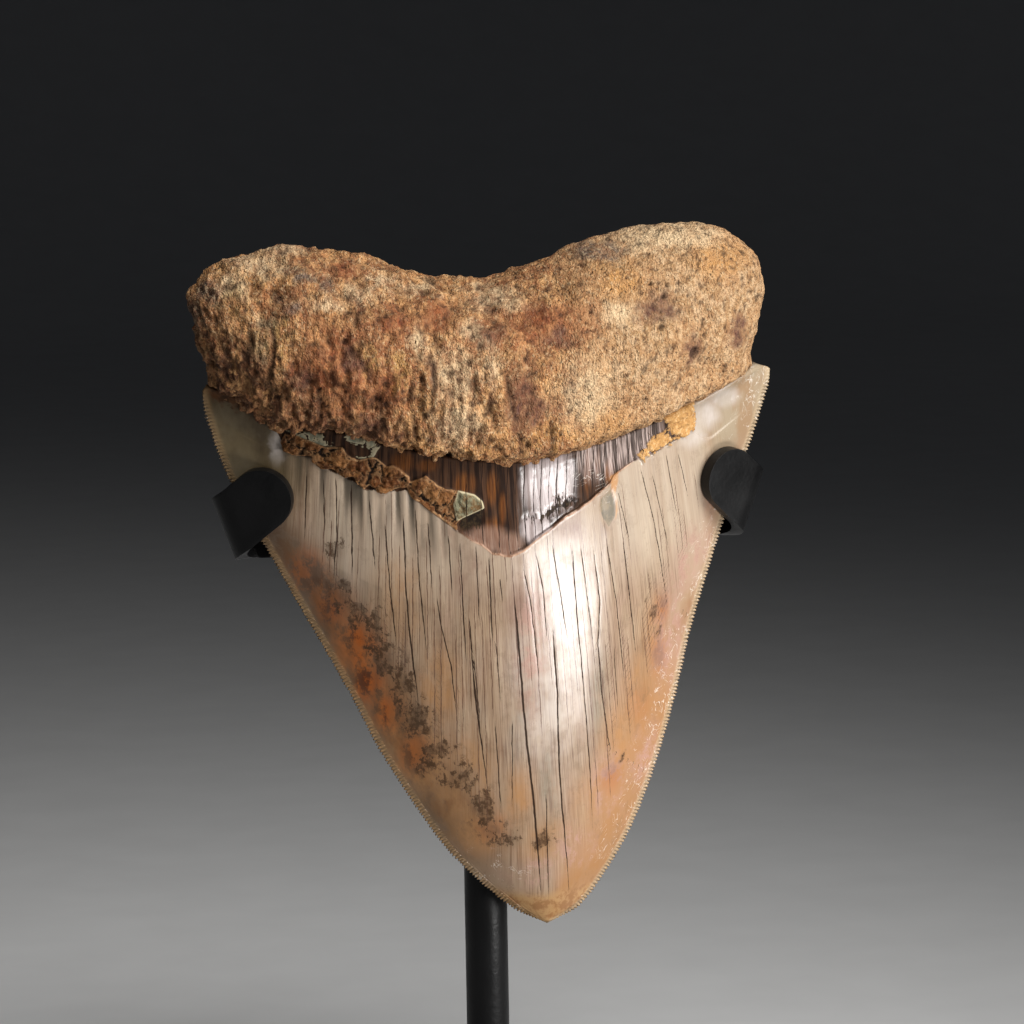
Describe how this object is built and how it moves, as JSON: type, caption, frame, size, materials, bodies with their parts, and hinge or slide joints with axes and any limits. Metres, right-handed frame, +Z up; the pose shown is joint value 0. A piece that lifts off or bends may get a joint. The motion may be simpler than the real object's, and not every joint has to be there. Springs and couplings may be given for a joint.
{
  "type": "megalodon tooth",
  "caption": "Large triangular fossil shark tooth with a rough root and serrated crown, held root up in the bent band of a black post stand.",
  "frame": {"origin": "centre of the base's underside", "axes": "+Z up from the base to the root of the tooth, +Y from the bulging lingual face to the flat labial face and the post, +X to the right seen from the lingual side"},
  "size_m": [0.1242, 0.1, 0.2084],
  "materials": {
    "fossil": "polished cream enamel below a granular tan root",
    "black_coating": "satin black powder coat",
    "blackened_steel": "black oxide"
  },
  "bodies": {
    "root": {"tooth": "fossil", "cradle_band": "black_coating", "post": "black_coating", "base": "black_coating", "band_screw": "blackened_steel"}
  },
  "joints": []
}
